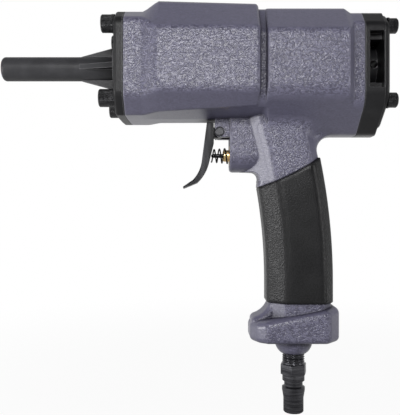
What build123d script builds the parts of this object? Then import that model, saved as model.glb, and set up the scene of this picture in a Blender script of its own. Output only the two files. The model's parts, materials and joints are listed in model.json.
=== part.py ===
from build123d import *
import math
import os

# A pneumatic nail puller. The nose mouth is the origin, +X runs to the rear along the
# bore, +Z is up and Y = 0 is the middle plane. All sizes are in millimetres.

# Fits
seat_gap = 0.03             # radial room between pieces that stay still
running_gap = 0.05          # radial room of sliding fits
face_gap = 0.1              # room between faces that meet when something moves
free_gap = 0.3              # room between pieces that pass each other
near = 0.01                 # how close counts as the same place when edges are picked

# Nose casting
nose_length = 68.8          # mouth to the front face of the flange
nose_radius = 7.0
nose_bore_radius = 3.75
mouth_round = 2.2
rib_length = 20.4
rib_thick = 3.0
rib_reach = 12.6            # height of a rib where it meets the round boss
nose_boss_radius = 18.5
nose_boss_thick = 2.0
flange_half = 29.5          # half-width; the corners below are (Y, Z) on one side
flange_roof = (18.5, 28.3)
flange_shoulder_z = 21.5
flange_hip_z = -20.5
flange_bilge = (20.5, -30.2)
flange_corner_round = 6.0
flange_thick = 5.0
flange_edge_round = 1.6
spigot_length = 4.0
guide_bush_radius = 5.5
guide_bush_length = 15.0
nose_gasket_thick = 0.5

# Front screws, M6 with split washers
nose_screw_offset = 20.65
nose_screw_radius = 3.0
nose_head_radius = 5.0
nose_head_height = 6.0
nose_socket_across = 5.0
nose_washer_radius = 5.2
nose_washer_thick = 1.6
nose_washer_lift = 1.3      # the lower pair of washers is not drawn down flat
nose_screw_reach = 15.0     # thread engaged in the housing

# Rear screws, M5 with split washers
rear_screw_y = 17.5
rear_screw_z = 20.8
rear_screw_drop = 0.45      # middle of the rear pattern below the bore
rear_screw_radius = 2.5
rear_head_radius = 4.25
rear_head_height = 4.8
rear_socket_across = 4.0
rear_washer_radius = 4.6
rear_washer_thick = 1.0
rear_screw_reach = 12.0
screw_hole_gap = 0.25
socket_depth_share = 0.5    # depth of the hex socket over the height of the head
head_edge_bevel = 0.6
washer_slit = 1.0

# Barrel of the housing: stations measured from its front or rear face
body_length = 132.0
shoulder_start = 9.7
shoulder_end = 18.5
main_end = 74.5
second_start = 77.8
second_end = 9.5            # from the rear face, where the step down starts
rear_start = 5.9            # from the rear face, where the step down ends
main_roof_half = 17.0
main_roof_z = 35.1
main_roof_fall = 1.6        # draft of the roof towards the rear
main_side_half = 33.0
main_side_top = 15.5
main_side_low = -18.0
main_bilge_front = (22.5, -28.4)  # edge of the shallow base, at the shoulder
main_bilge_rear = (25.5, -25.2)   # and at the rear end of the block
base_half = 8.0             # flat middle of the base, half-width
base_z = -30.6
bilge_round = 2.5
base_round = 10.0
second_roof_half = 17.0
second_roof_z = 30.9
second_side_half = 32.0
second_side_top = 14.5
valley_depth = 2.4          # groove below the sides of the second block
valley_roof_depth = 0.4     # and below its roof
rear_roof_half = 18.5
rear_roof_z = 27.8
rear_side_half = 26.5
rear_side_top = 19.5
keel_half = 6.0
keel_z = -39.8
keel_slope = 0.785          # rise of the lower bevel over its width
upper_round = 6.0
hip_round = 13.0
keel_round = 7.0
block_end_round = 2.0
step_stations = 4           # spans of each rounded step
step_softness = 0.35        # 0 for a straight ramp, 1 for a full curve
bore_radius = 21.0

# Handle: a section with slanted cheeks swept up a straight run and a long forward arc
handle_setback = 99.2       # axis of the straight run behind the front face
handle_depth = 38.2
handle_width = 33.0
handle_front_half = 8.5     # half-width of the front strap
handle_cheek = 10.5         # length of its slanted cheeks, along the tool
handle_rear_half = 10.0
handle_rear_cheek = 6.0
handle_front_round = 6.0
handle_cheek_round = 8.0
handle_rear_round = 5.0
handle_bend_z = -125.0
handle_bend_radius = 340.0
handle_top_z = -22.0
neck_inset = 1.2            # casting below the surface of the sleeve
core_inset = 3.0            # core below the surface of the sleeve
root_round = 9.5            # blend between handle and barrel
grip_front = (75.3, -69.8)  # top edge of the sleeve, X from the front face
grip_middle = (96.9, -60.7)
grip_rear = (110.6, -52.2)
grip_bottom_z = -136.2
grip_edge_round = 0.8

# Foot and air inlet
foot_bottom_z = -158.6
foot_front = 70.5           # all from the front face
foot_front_cheek = 74.0
foot_front_shoulder = 79.5
foot_rear_shoulder = 114.5
foot_rear = 121.7
foot_front_half = 7.0
foot_cheek_half = 14.5
foot_half = 18.5
foot_rear_half = 10.0
foot_corner = 4.5
foot_top_z = -145.7
foot_top_slope = 0.195
foot_top_round = 4.0
foot_bottom_round = 3.2
toe_front = 71.4            # hollow blend from the handle down to the front of the foot
toe_low_z = -144.8
toe_high_z = -137.4
toe_radius = 12.0
toe_half = 9.5
toe_edge_round = 3.5
inlet_setback = 96.8
inlet_boss_radius = 11.0
inlet_boss_end_radius = 7.7
inlet_boss_length = 7.9
inlet_boss_bulge = 9.0      # radius of its bowl shaped side
inlet_depth = 7.0
air_bore_radius = 4.5

# Valve boss and trigger lugs
boss_front = 58.9           # from the front face
boss_half = 12.0
boss_top_z = -25.5          # hidden in the barrel, also for the lugs
boss_bottom_z = -60.9
boss_edge_round = 2.0
boss_toe = 13.0             # flat underside before it curves down into the handle
toe_curve = (16.5, -66.5)
lug_inner = 4.0
lug_thick = 5.0
lug_round = 2.6
lug_drop = 3.0              # below the pin axis
pin_setback = 53.0
pin_z = -37.8
pin_radius = 2.0
pin_head_radius = 2.5
pin_head_height = 0.9
pin_head_bevel = 0.5
pin_tail = 1.6
clip_thick = 0.6
clip_radius = 3.4
clip_bore = 1.5

# Trigger lever, places measured from the pin axis
lever_half = 7.5
tongue_half = 3.7
tongue_radius = 3.0
lever_back = 3.3
lever_top = 5.6
lever_front_top = (-7.3, 5.9)
lever_front_knee = (-10.3, -16.9)
lever_front_curl = (-15.5, -27.7)
lever_tip_front = (-21.2, -31.6)
lever_tip_back = (-21.0, -32.5)
lever_back_curl = (-13.0, -29.2)
lever_knee_drop = 6.6
lever_lean = 13.86          # degrees, lower back face to the vertical
lever_lean_length = 10.9
lever_edge_round = 1.2

# Valve
valve_z = -51.1
bush_radius = 6.0
bush_length = 16.0
bush_nose_radius = 3.4
bush_nose_length = 3.8
nose_bevel = 0.7
bush_chamber_radius = 3.0
bush_chamber_start = 6.0
bush_port = 9.5             # ring of cross holes, from the boss face
bush_port_radius = 1.2
bush_groove_radius = 4.7
bush_groove_width = 4.0
bush_ring_front = 3.0       # seal rings, from the boss face
bush_ring_rear = 13.3
stem_radius = 1.2
stem_gap = 0.08
stem_touch = 0.15           # room between stem tip and lever at rest
poppet_radius = 4.5
poppet_thick = 2.1
poppet_seal_thick = 1.0
poppet_tail_radius = 1.9
poppet_tail = 3.8
chamber_radius = 5.4
chamber_length = 29.5
valve_wire = 0.7
valve_spring_radius = 3.1
valve_spring_turns = 6
trigger_wire = 0.84
trigger_spring_small = 3.6
trigger_spring_large = 4.5
trigger_spring_lift = 0.35  # first turn behind the lever, at the valve axis
trigger_spring_turns = 3.25
wire_sides = 8              # flats that the round spring wires are drawn with
coil_samples = 32           # places per turn where a coil's gap is measured
transfer_port_radius = 2.5
passage_radius = 3.5
passage_z = -30.0
slot_width = 6.0
slot_depth = 5.0

# Cylinder and piston
liner_bore_radius = 18.0
liner_ring_setback = 8.0
ring_wire = 1.3             # section of the seal rings
ring_squeeze = 0.1
piston_length = 20.0
piston_seal_front = 3.0
piston_seal_rear = 14.0
piston_seal_width = 2.4
piston_seal_depth = 2.6
stroke = 70.0
stroke_gap = 0.5
driver_setback = 2.0        # tip behind the front of the guide bush
driver_radius = 3.45
collar_radius = 6.5
collar_thick = 3.0
shank_radius = 4.0
nut_across = 13.0
nut_height = 6.0
nut_pocket_radius = 9.0
nut_pocket_depth = 7.5
shank_end = 1.0             # thread shown past the nut
driver_tip_chamfer = 0.5
bumper_base = 12.0
bumper_hole_radius = 4.5
bumper_nose_radius = 9.5
bumper_nose_bevel = 1.5
rear_bumper_thick = 2.0
rear_bumper_bore = 12.0
return_wire = 2.2
return_spring_radius = 13.0
return_spring_turns = 7

# Cylinder head, exhaust valve and rear cover
head_thick = 5.0
head_port_count = 6
head_port_radius = 1.3
head_port_circle = 8.2
inlet_duct_radius = 2.0
seat_hub_radius = 3.6
seat_hub_height = 0.9
rear_gasket_thick = 0.4
disc_radius = 6.2
disc_thick = 2.0
disc_wing_width = 3.0
disc_travel = 1.5
exhaust_chamber_radius = 9.8
exhaust_seat_radius = 4.6
exhaust_seat_height = 1.0
exhaust_port_radius = 3.4
exhaust_cross_radius = 2.2
exhaust_wall = 0.6
cover_frame_depth = 10.8
cover_plate_thick = 3.1
cover_plate_inset = 1.2
cover_plate_lift = 4.3      # bottom edge of the plate above the keel
cover_plate_round = 2.0
cover_boss_radius = 13.0
window_front = 2.2          # from the front of the cover
window_length = 8.1
window_half = 15.5
window_step_half = 12.0
window_step_depth = 6.0     # outer recess, inwards from the side

# Air plug
plug_thread_radius = 6.58
plug_thread_length = 12.8
plug_hex_across = 14.0
plug_hex_length = 5.9
plug_hex_turn = 15.0        # degrees, as the taper thread happened to tighten
plug_collar_radius = 6.5
plug_collar_length = 4.4
plug_neck_radius = 5.4
plug_neck_length = 2.7
plug_ring_radius = 6.7
plug_ring_length = 2.3
plug_taper_length = 4.5
plug_end_radius = 5.9
plug_end_length = 8.6
plug_bore_radius = 3.75
plug_edge = 0.6
filter_flange_thick = 1.0
filter_radius = 4.2
filter_wall = 0.7
filter_height = 14.0

# Stations along the bore
x_flange = nose_length
x_joint = x_flange + flange_thick
x_body = x_joint + nose_gasket_thick
x_rear = x_body + body_length
x_cover = x_rear + rear_gasket_thick
x_plate = x_cover + cover_frame_depth
x_end = x_plate + cover_plate_thick
x_seat = x_joint + spigot_length
x_head = x_rear - head_thick
x_piston_rear = x_head - rear_bumper_thick - free_gap
x_piston = x_piston_rear - piston_length
x_collar = x_piston - collar_thick
x_bumper = x_seat + bumper_base
x_bumper_nose = x_collar - stroke - stroke_gap
x_handle = x_body + handle_setback
x_inlet = x_body + inlet_setback
x_boss = x_body + boss_front
x_pin = x_body + pin_setback
x_bush_end = x_boss + bush_length
x_boss_end = (x_bush_end + x_handle) / 2
x_poppet_seal = x_bush_end + face_gap
x_poppet = x_poppet_seal + poppet_seal_thick
x_chamber_end = x_bush_end + chamber_length
inlet_mouth_z = foot_bottom_z - inlet_boss_length
inlet_floor_z = inlet_mouth_z + inlet_depth
nose_rows = (nose_screw_offset, -nose_screw_offset)
rear_rows = (rear_screw_z - rear_screw_drop, -rear_screw_z - rear_screw_drop)

os.makedirs("parts", exist_ok=True)


def save(builder, name):
    """Label a finished piece and write its file."""
    builder.part.label = name
    export_step(builder.part, f"parts/{name}.step")


def off_axis(edge):
    """Distance of an edge's middle from the bore's axis."""
    middle = edge @ 0.5
    return math.hypot(middle.Y, middle.Z)


def turned(axis_z, outline, mode=Mode.ADD):
    """Revolve an outline of (x, radius) points about the line along X at height axis_z."""
    with BuildSketch(Plane.XZ) as profile:
        with BuildLine():
            Polyline(*[(x, axis_z + radius) for x, radius in outline], close=True)
        make_face()
    revolve(profile.sketch, axis=Axis((0, 0, axis_z), (1, 0, 0)), mode=mode)


def turned_upright(axis_x, outline, mode=Mode.ADD):
    """Revolve an outline of (radius, z) points about the vertical line at axis_x."""
    with BuildSketch(Plane.XZ) as profile:
        with BuildLine():
            Polyline(*[(axis_x + radius, z) for radius, z in outline], close=True)
        make_face()
    revolve(profile.sketch, axis=Axis((axis_x, 0, 0), (0, 0, 1)), mode=mode)


def bored(x_from, x_to, radius, axis_z=0.0):
    """Cut a round hole along X."""
    with BuildSketch(Plane.YZ.offset(x_from)) as hole:
        with Locations((0, axis_z)):
            Circle(radius)
    extrude(hole.sketch, amount=x_to - x_from, mode=Mode.SUBTRACT)


def pattern_bored(x_from, x_to, radius, offset_y, rows):
    """Cut the screw holes of a pattern along X, one on each side in each row."""
    with BuildSketch(Plane.YZ.offset(x_from)) as holes:
        with Locations(*[(y, z) for z in rows for y in (-offset_y, offset_y)]):
            Circle(radius)
    extrude(holes.sketch, amount=x_to - x_from, mode=Mode.SUBTRACT)


def keel_hip(side_half):
    """Corner where the common lower bevel meets a side at the given half-width."""
    return (side_half, keel_z + (side_half - keel_half) * keel_slope)


# Barrel outlines: corners on one side from roof to base, each with its rounding
base_corner = ((base_half, base_z), base_round)
front_outline = [(flange_roof, upper_round), ((flange_half, flange_shoulder_z), upper_round),
                 ((flange_half, flange_hip_z), flange_corner_round), (flange_bilge, bilge_round), base_corner]
main_outline = [((main_roof_half, main_roof_z), upper_round), ((main_side_half, main_side_top), upper_round),
                ((main_side_half, main_side_low), upper_round), (main_bilge_front, bilge_round), base_corner]
main_rear_outline = [((main_roof_half, main_roof_z - main_roof_fall), upper_round), *main_outline[1:3],
                     (main_bilge_rear, bilge_round), base_corner]
second_outline = [((second_roof_half, second_roof_z), upper_round),
                  ((second_side_half, second_side_top), upper_round),
                  (keel_hip(second_side_half), hip_round), ((keel_half, keel_z), keel_round)]
rear_outline = [((rear_roof_half, rear_roof_z), upper_round), ((rear_side_half, rear_side_top), upper_round),
                (keel_hip(rear_side_half), hip_round), ((keel_half, keel_z), keel_round)]


def mixed(first, second, share):
    """Outline between two others."""
    def between(a, b):
        return a + (b - a) * share

    return [((between(y1, y2), between(z1, z2)), between(round1, round2))
            for ((y1, z1), round1), ((y2, z2), round2) in zip(first, second)]


def body_section(x, outline):
    """Cross-section of the barrel at station x."""
    right = [corner for corner, rounding in outline]
    left = [(-y, z) for y, z in reversed(right)]
    with BuildSketch(Plane.YZ.offset(x)) as section:
        with BuildLine():
            Polyline(*right, *left, close=True)
        make_face()
        for (y, z), rounding in outline:
            pair = section.vertices().filter_by(
                lambda v: abs(abs(v.X) - y) < near and abs(v.Y - z) < near)
            fillet(pair, rounding)
    return section.sketch


def eased_stations(x_from, x_to, first, second):
    """Cross-sections of a rounded step between two outlines."""
    sections = []
    for step in range(step_stations + 1):
        share = step / step_stations
        curve = share * share * (3 - 2 * share)
        ease = share + (curve - share) * step_softness
        sections.append(body_section(x_from + (x_to - x_from) * share, mixed(first, second, ease)))
    return sections


def cap_screws(name, rows, facing, offset_y, radius, head_radius, head_height, socket_across, x_shank):
    """Socket head screws in rows of (height, face under the head), looking along facing (+1 or -1)."""
    with BuildPart() as screws:
        for z, face_x in rows:
            top_x = face_x + facing * head_height
            pair = [(-offset_y, z), (offset_y, z)]
            with BuildSketch(Plane.YZ.offset(face_x)):
                with Locations(*pair):
                    Circle(head_radius)
            extrude(amount=facing * head_height)
            rims = screws.edges().filter_by(GeomType.CIRCLE)
            rims = rims.filter_by_position(Axis.Z, z - head_radius, z + head_radius)
            chamfer(rims.filter_by_position(Axis.X, top_x - near, top_x + near), head_edge_bevel)
            with BuildSketch(Plane.YZ.offset(face_x)):
                with Locations(*pair):
                    Circle(radius)
            extrude(amount=x_shank - face_x)
            with BuildSketch(Plane.YZ.offset(top_x)):
                with Locations(*pair):
                    RegularPolygon(socket_across / 2, 6, major_radius=False)
            extrude(amount=-facing * head_height * socket_depth_share, mode=Mode.SUBTRACT)
    save(screws, name)


def split_washers(name, rows, face_x, offset_y, radius, hole):
    """Split washers in rows of (height, far face), lying on the face at face_x."""
    with BuildPart() as washers:
        for z, far_x in rows:
            with BuildSketch(Plane.YZ.offset(face_x)):
                with Locations((-offset_y, z), (offset_y, z)):
                    Circle(radius)
                    Circle(hole, mode=Mode.SUBTRACT)
                    with Locations((0, -radius)):
                        Rectangle(washer_slit, radius, mode=Mode.SUBTRACT)
            extrude(amount=far_x - face_x)
    save(washers, name)


def seal_rings(name, axis_z, places, outer_radius):
    """Square-section seal rings about the line along X at height axis_z."""
    half = ring_wire / 2
    inner_radius = outer_radius - ring_wire
    with BuildPart() as rings:
        for x in places:
            turned(axis_z, [(x - half, inner_radius), (x - half, outer_radius),
                            (x + half, outer_radius), (x + half, inner_radius)])
    save(rings, name)


def ring_groove(x, axis_z, radius):
    """Cut the square groove of a seal ring into a round piece."""
    half = ring_wire / 2 + ring_squeeze
    floor = radius - ring_wire - ring_squeeze
    outside = radius + ring_wire
    turned(axis_z, [(x - half, floor), (x - half, outside), (x + half, outside), (x + half, floor)],
           mode=Mode.SUBTRACT)


def coil_point(angle, turns, x_from, x_to, radius_from, radius_to, axis_z):
    """Point of a coil about a line along X, where angle runs from 0 to a turn for each turn."""
    share = angle / (2 * math.pi * turns)
    radius = radius_from + (radius_to - radius_from) * share
    x = x_from + (x_to - x_from) * share
    return Vector(x, radius * math.sin(angle), axis_z - radius * math.cos(angle))


def coil_spring(name, wire, turns, x_from, x_to, radius_from, radius_to, axis_z):
    """One unbroken wire on biarcs of a quarter turn. Prints its least gap to itself."""
    def at(angle):
        return coil_point(angle, turns, x_from, x_to, radius_from, radius_to, axis_z)

    def heading(angle):
        return (at(angle + near) - at(angle - near)).normalized()

    quarters = round(4 * turns)
    with BuildLine() as helix:
        for quarter in range(quarters):
            start_angle = quarter * math.pi / 2
            start = at(start_angle)
            end = at(start_angle + math.pi / 2)
            start_heading = heading(start_angle)
            end_heading = heading(start_angle + math.pi / 2)
            chord = end - start
            along = chord.dot(start_heading + end_heading)
            spread = 2 * (1 - start_heading.dot(end_heading))
            reach = (math.sqrt(along ** 2 + spread * chord.dot(chord)) - along) / spread
            middle = (start + end + (start_heading - end_heading) * reach) * 0.5
            first = TangentArc(start, middle, tangent=start_heading)
            TangentArc(middle, end, tangent=first % 1)
    path = helix.wire()
    with BuildPart() as spring:
        with BuildSketch(Plane(origin=path @ 0, z_dir=path % 0)):
            RegularPolygon(wire / 2, wire_sides)
        sweep(path=path, clean=False)
    count = round(coil_samples * turns)
    samples = [at(step * 2 * math.pi / coil_samples) for step in range(count + 1)]
    half_turn = coil_samples // 2
    apart = [(a - b).length for i, a in enumerate(samples) for b in samples[i + half_turn:]]
    print(f"{name}: least gap to itself {min(apart) - wire:.2f} mm")
    save(spring, name)


# Nose casting: tube, ribs, round boss, flange and spigot
with BuildPart() as nose_cover:
    turned(0, [(0, 0), (0, nose_radius), (x_joint, nose_radius), (x_joint, 0)])
    mouth = nose_cover.edges().filter_by(GeomType.CIRCLE).group_by(Axis.X)[0]
    fillet(mouth, mouth_round)
    x_rib_end = x_flange - nose_boss_thick
    for turn in range(4):
        with BuildSketch(Plane.XZ.rotated((90 * turn, 0, 0))):
            with BuildLine():
                Polyline(
                    (x_rib_end - rib_length, nose_bore_radius),
                    (x_rib_end - rib_length, nose_radius),
                    (x_rib_end, rib_reach),
                    (x_joint, rib_reach),
                    (x_joint, nose_bore_radius),
                    close=True,
                )
            make_face()
        extrude(amount=rib_thick / 2, both=True)
    with BuildSketch(Plane.YZ.offset(x_rib_end)):
        Circle(nose_boss_radius)
    extrude(amount=nose_boss_thick)
    extrude(body_section(x_flange, front_outline), amount=flange_thick)
    outer_edges = nose_cover.edges().filter_by_position(Axis.X, x_flange - near, x_flange + near)
    fillet(outer_edges.filter_by(lambda e: off_axis(e) > nose_boss_radius + near), flange_edge_round)
    with BuildSketch(Plane.YZ.offset(x_joint)):
        Circle(bore_radius - running_gap)
    extrude(amount=spigot_length)
    pattern_bored(x_flange, x_joint, nose_screw_radius + screw_hole_gap,
                  nose_screw_offset, nose_rows)
    bored(0, x_seat, nose_bore_radius)
    bored(x_seat - guide_bush_length, x_seat, guide_bush_radius + seat_gap)
save(nose_cover, "nose_cover")

with BuildPart() as nose_gasket:
    extrude(body_section(x_joint, front_outline), amount=nose_gasket_thick)
    bored(x_joint, x_body, bore_radius)
    pattern_bored(x_joint, x_body, nose_screw_radius + screw_hole_gap, nose_screw_offset, nose_rows)
save(nose_gasket, "nose_gasket")

with BuildPart() as driver_guide_bush:
    bore = driver_radius + running_gap
    turned(0, [
        (x_seat - guide_bush_length, bore),
        (x_seat - guide_bush_length, guide_bush_radius),
        (x_seat, guide_bush_radius),
        (x_seat, bore),
    ])
save(driver_guide_bush, "driver_guide_bush")

x_nose_washer = x_flange - nose_washer_thick
nose_heads = [(nose_screw_offset, x_nose_washer), (-nose_screw_offset, x_nose_washer - nose_washer_lift)]
cap_screws("nose_screws", nose_heads, -1, nose_screw_offset, nose_screw_radius, nose_head_radius,
           nose_head_height, nose_socket_across, x_body + nose_screw_reach)
split_washers("nose_spring_washers", nose_heads, x_flange, nose_screw_offset, nose_washer_radius,
              nose_screw_radius + screw_hole_gap)

# Barrel of the housing, in blocks along the bore
with BuildPart() as main_block:
    stations = [body_section(x_body, front_outline)]
    stations += eased_stations(x_body + shoulder_start, x_body + shoulder_end, front_outline, main_outline)
    stations.append(body_section(x_body + main_end, main_rear_outline))
    loft(sections=stations, ruled=True)
    fillet(main_block.edges().group_by(Axis.X)[-1], block_end_round)

x_lip = x_body + second_start + block_end_round


def lowered(roof_drop, side_drop):
    """Outline of the second block with roof and sides set in, over the same keel."""
    side = second_side_half - side_drop
    return [((second_roof_half, second_roof_z - roof_drop), upper_round),
            ((side, second_side_top), upper_round), (keel_hip(side), hip_round), second_outline[3]]


with BuildPart() as second_front:
    stations = []
    for step in range(step_stations + 1):
        angle = math.pi / 2 * step / step_stations
        drop = block_end_round * (1 - math.sin(angle))
        stations.append(body_section(x_lip - block_end_round * math.cos(angle), lowered(drop, drop)))
    loft(sections=stations, ruled=True)

with BuildPart() as second_rear:
    stations = eased_stations(x_rear - second_end, x_rear - rear_start, second_outline, rear_outline)
    stations.append(body_section(x_rear, rear_outline))
    loft(sections=stations, ruled=True)

with BuildPart() as valley_core:
    extrude(body_section(x_body + main_end - 2 * block_end_round, lowered(valley_roof_depth, valley_depth)),
            amount=x_lip - x_body - main_end + 2 * block_end_round)

# Handle
with BuildLine(Plane.XZ) as handle_axis:
    straight = Line((x_handle, foot_top_z), (x_handle, handle_bend_z))
    bend = math.degrees(math.asin((handle_top_z - handle_bend_z) / handle_bend_radius))
    JernArc(straight @ 1, straight % 1, handle_bend_radius, bend)
handle_path = handle_axis.wire()


def handle_sweep(inset, mode=Mode.ADD):
    """Sweep the handle's section, drawn in by inset, up its axis."""
    front, rear, side = -handle_depth / 2, handle_depth / 2, handle_width / 2
    corners = [((front, handle_front_half), handle_front_round),
               ((front + handle_cheek, side), handle_cheek_round),
               ((rear - handle_rear_cheek, side), handle_rear_round),
               ((rear, handle_rear_half), handle_rear_round)]
    half = [corner for corner, rounding in corners]
    with BuildSketch(Plane((x_handle, 0, foot_top_z))) as outline:
        with BuildLine():
            Polyline(*half, *[(x, -y) for x, y in reversed(half)], close=True)
        make_face()
        for (x, y), rounding in corners:
            pair = outline.vertices().filter_by(lambda v: abs(v.X - x) < near and abs(abs(v.Y) - y) < near)
            fillet(pair, rounding)
        if inset > 0:
            offset(amount=-inset)
    sweep(outline.sketch, path=handle_path, mode=mode)


def grip_zone(inset):
    """Side view of the stretch that the sleeve covers, with a curved top edge."""
    with BuildSketch(Plane.XZ) as zone:
        with BuildLine():
            top = ThreePointArc(*[(x_body + x, z) for x, z in (grip_front, grip_middle, grip_rear)])
            front = Line(top @ 0, (top @ 0) - (top % 0) * handle_depth)
            rear = Line(top @ 1, (top @ 1) + (top % 1) * handle_depth)
            Line(front @ 1, ((front @ 1).X, grip_bottom_z))
            Line(rear @ 1, ((rear @ 1).X, grip_bottom_z))
            Line(((front @ 1).X, grip_bottom_z), ((rear @ 1).X, grip_bottom_z))
        make_face()
        if inset > 0:
            offset(amount=-inset, kind=Kind.INTERSECTION)
    return zone.sketch


with BuildPart() as handle:
    handle_sweep(neck_inset)
    extrude(grip_zone(0), amount=handle_width, both=True, mode=Mode.SUBTRACT)
    handle_sweep(core_inset)

with BuildPart() as grip_sleeve:
    handle_sweep(0)
    extrude(grip_zone(seat_gap), amount=handle_width, both=True, mode=Mode.INTERSECT)
    ends = [grip_sleeve.faces().sort_by(Axis.Z)[0], grip_sleeve.faces().sort_by(Axis.Z)[-1]]
    fillet([edge for face in ends for edge in face.outer_wire().edges()], grip_edge_round)
    handle_sweep(core_inset - seat_gap, mode=Mode.SUBTRACT)
save(grip_sleeve, "grip_sleeve")

with BuildPart() as foot:
    with BuildSketch(Plane.XY.offset(foot_bottom_z)) as plan:
        side = [
            (x_body + foot_front, foot_front_half),
            (x_body + foot_front_cheek, foot_cheek_half),
            (x_body + foot_front_shoulder, foot_half),
            (x_body + foot_rear_shoulder, foot_half),
            (x_body + foot_rear, foot_rear_half),
        ]
        with BuildLine():
            Polyline(*side, *[(x, -y) for x, y in reversed(side)], close=True)
        make_face()
        fillet(plan.vertices(), foot_corner)
    extrude(amount=2 * (foot_top_z - foot_bottom_z))
    slope = math.degrees(math.atan(foot_top_slope))
    split(bisect_by=Plane((x_body + foot_front_shoulder, 0, foot_top_z)).rotated((0, -slope, 0)),
          keep=Keep.BOTTOM)
    fillet(foot.faces().sort_by(Axis.Z)[-1].edges(), foot_top_round)
    fillet(foot.faces().sort_by(Axis.Z)[0].edges(), foot_bottom_round)

with BuildPart() as toe:
    x_toe = x_body + toe_front
    toe_base_z = (foot_bottom_z + toe_low_z) / 2
    with BuildSketch(Plane.XZ):
        with BuildLine():
            hollow = RadiusArc((x_toe, toe_low_z), (x_handle - handle_depth / 2 + neck_inset, toe_high_z),
                               -toe_radius)
            Polyline(hollow @ 1, (x_handle, toe_high_z), (x_handle, toe_base_z), (x_toe, toe_base_z),
                     hollow @ 0)
        make_face()
    extrude(amount=toe_half, both=True)
    front_face = toe.faces().sort_by(Axis.X)[0]
    brow = front_face.edges().sort_by(Axis.Z)[-1:]
    upright = front_face.edges().filter_by(Axis.Z)
    fillet(toe.edges().filter_by(GeomType.CIRCLE) + upright + brow, toe_edge_round)

with BuildPart() as inlet_boss:
    with BuildSketch(Plane.XZ):
        with BuildLine():
            wall = RadiusArc((x_inlet + inlet_boss_radius, foot_bottom_z),
                             (x_inlet + inlet_boss_end_radius, inlet_mouth_z), inlet_boss_bulge)
            Polyline(wall @ 1, (x_inlet, inlet_mouth_z), (x_inlet, foot_bottom_z + foot_bottom_round),
                     (x_inlet + inlet_boss_radius, foot_bottom_z + foot_bottom_round), wall @ 0)
        make_face()
    revolve(axis=Axis((x_inlet, 0, 0), (0, 0, 1)))

with BuildPart() as valve_boss:
    with BuildSketch(Plane.XZ):
        with BuildLine():
            Polyline((x_boss + boss_toe, boss_bottom_z), (x_boss, boss_bottom_z), (x_boss, boss_top_z),
                     (x_boss_end, boss_top_z), (x_boss_end, toe_curve[1]),
                     (x_boss + toe_curve[0], toe_curve[1]))
            TangentArc((x_boss + boss_toe, boss_bottom_z), (x_boss + toe_curve[0], toe_curve[1]),
                       tangent=(1, 0, 0))
        make_face()
    extrude(amount=boss_half, both=True)
    fillet(valve_boss.faces().sort_by(Axis.X)[0].edges(), boss_edge_round)

with BuildPart() as lugs:
    for y_face in (lug_inner, -lug_inner - lug_thick):
        with BuildSketch(Plane.XZ.offset(y_face)) as lug_side:
            with BuildLine():
                Polyline((x_pin - lug_round, boss_top_z), (x_pin - lug_round, pin_z - lug_drop),
                         (x_boss + boss_edge_round, pin_z - lug_drop),
                         (x_boss + boss_edge_round, boss_top_z), close=True)
            make_face()
            fillet(lug_side.vertices().group_by(Axis.Y)[0].sort_by(Axis.X)[0], lug_round)
        extrude(amount=lug_thick)


# Second block and the root of the handle, blended while the block still runs on past the handle
with BuildPart() as plain_block:
    extrude(body_section(x_body + shoulder_end, second_outline),
            amount=body_length - shoulder_end - second_end)


def joins_barrel(edge):
    """True where the handle meets the underside of the plain block."""
    middle = edge @ 0.5
    if middle.Z < keel_z - near or middle.Z > passage_z:
        return False
    return all(min(face.distance_to(middle) for face in piece.part.faces()) < near
               for piece in (handle, plain_block))


lip_plane = Plane.YZ.offset(x_lip)
with BuildPart() as second_block:
    add(plain_block.part)
    add(handle.part)
    fillet(second_block.edges().filter_by(joins_barrel), root_round)
    split(bisect_by=lip_plane, keep=Keep.TOP)

with BuildPart() as handle_front:
    add(handle.part)
    split(bisect_by=lip_plane, keep=Keep.BOTTOM)

with BuildPart() as housing:
    add(second_block.part)
    add(second_front.part)
    add(second_rear.part)
    add(handle_front.part)
    add(valley_core.part)
    add(main_block.part)
    add(foot.part)
    add(toe.part)
    add(inlet_boss.part)
    add(valve_boss.part)
    add(lugs.part)
    bored(x_body, x_rear, bore_radius)
    pattern_bored(x_body, x_body + nose_screw_reach + free_gap, nose_screw_radius + seat_gap,
                  nose_screw_offset, nose_rows)
    pattern_bored(x_rear - rear_screw_reach - free_gap, x_rear, rear_screw_radius + seat_gap,
                  rear_screw_y, rear_rows)
    bored(x_boss, x_bush_end, bush_radius + seat_gap, axis_z=valve_z)
    bored(x_bush_end, x_chamber_end, chamber_radius, axis_z=valve_z)
    x_port = x_boss + bush_port
    bored(x_port, x_rear, passage_radius, axis_z=passage_z)
    with BuildSketch(Plane.XY.offset(valve_z)):
        with Locations((x_port, 0)):
            Circle(transfer_port_radius)
    extrude(amount=passage_z - valve_z, mode=Mode.SUBTRACT)
    slot_height = passage_radius - passage_z
    with BuildSketch(Plane.YZ.offset(x_rear - slot_depth)):
        with Locations((0, -slot_height / 2)):
            Rectangle(slot_width, slot_height)
    extrude(amount=slot_depth, mode=Mode.SUBTRACT)
    turned_upright(x_inlet, [(0, inlet_mouth_z), (plug_thread_radius + seat_gap, inlet_mouth_z),
                             (plug_thread_radius + seat_gap, inlet_floor_z),
                             (air_bore_radius, inlet_floor_z), (air_bore_radius, valve_z), (0, valve_z)],
                   mode=Mode.SUBTRACT)
    with BuildSketch(Plane.XZ.offset(-lug_inner - lug_thick)):
        with Locations((x_pin, pin_z)):
            Circle(pin_radius + seat_gap)
    extrude(amount=2 * (lug_inner + lug_thick), mode=Mode.SUBTRACT)
save(housing, "housing")

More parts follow.
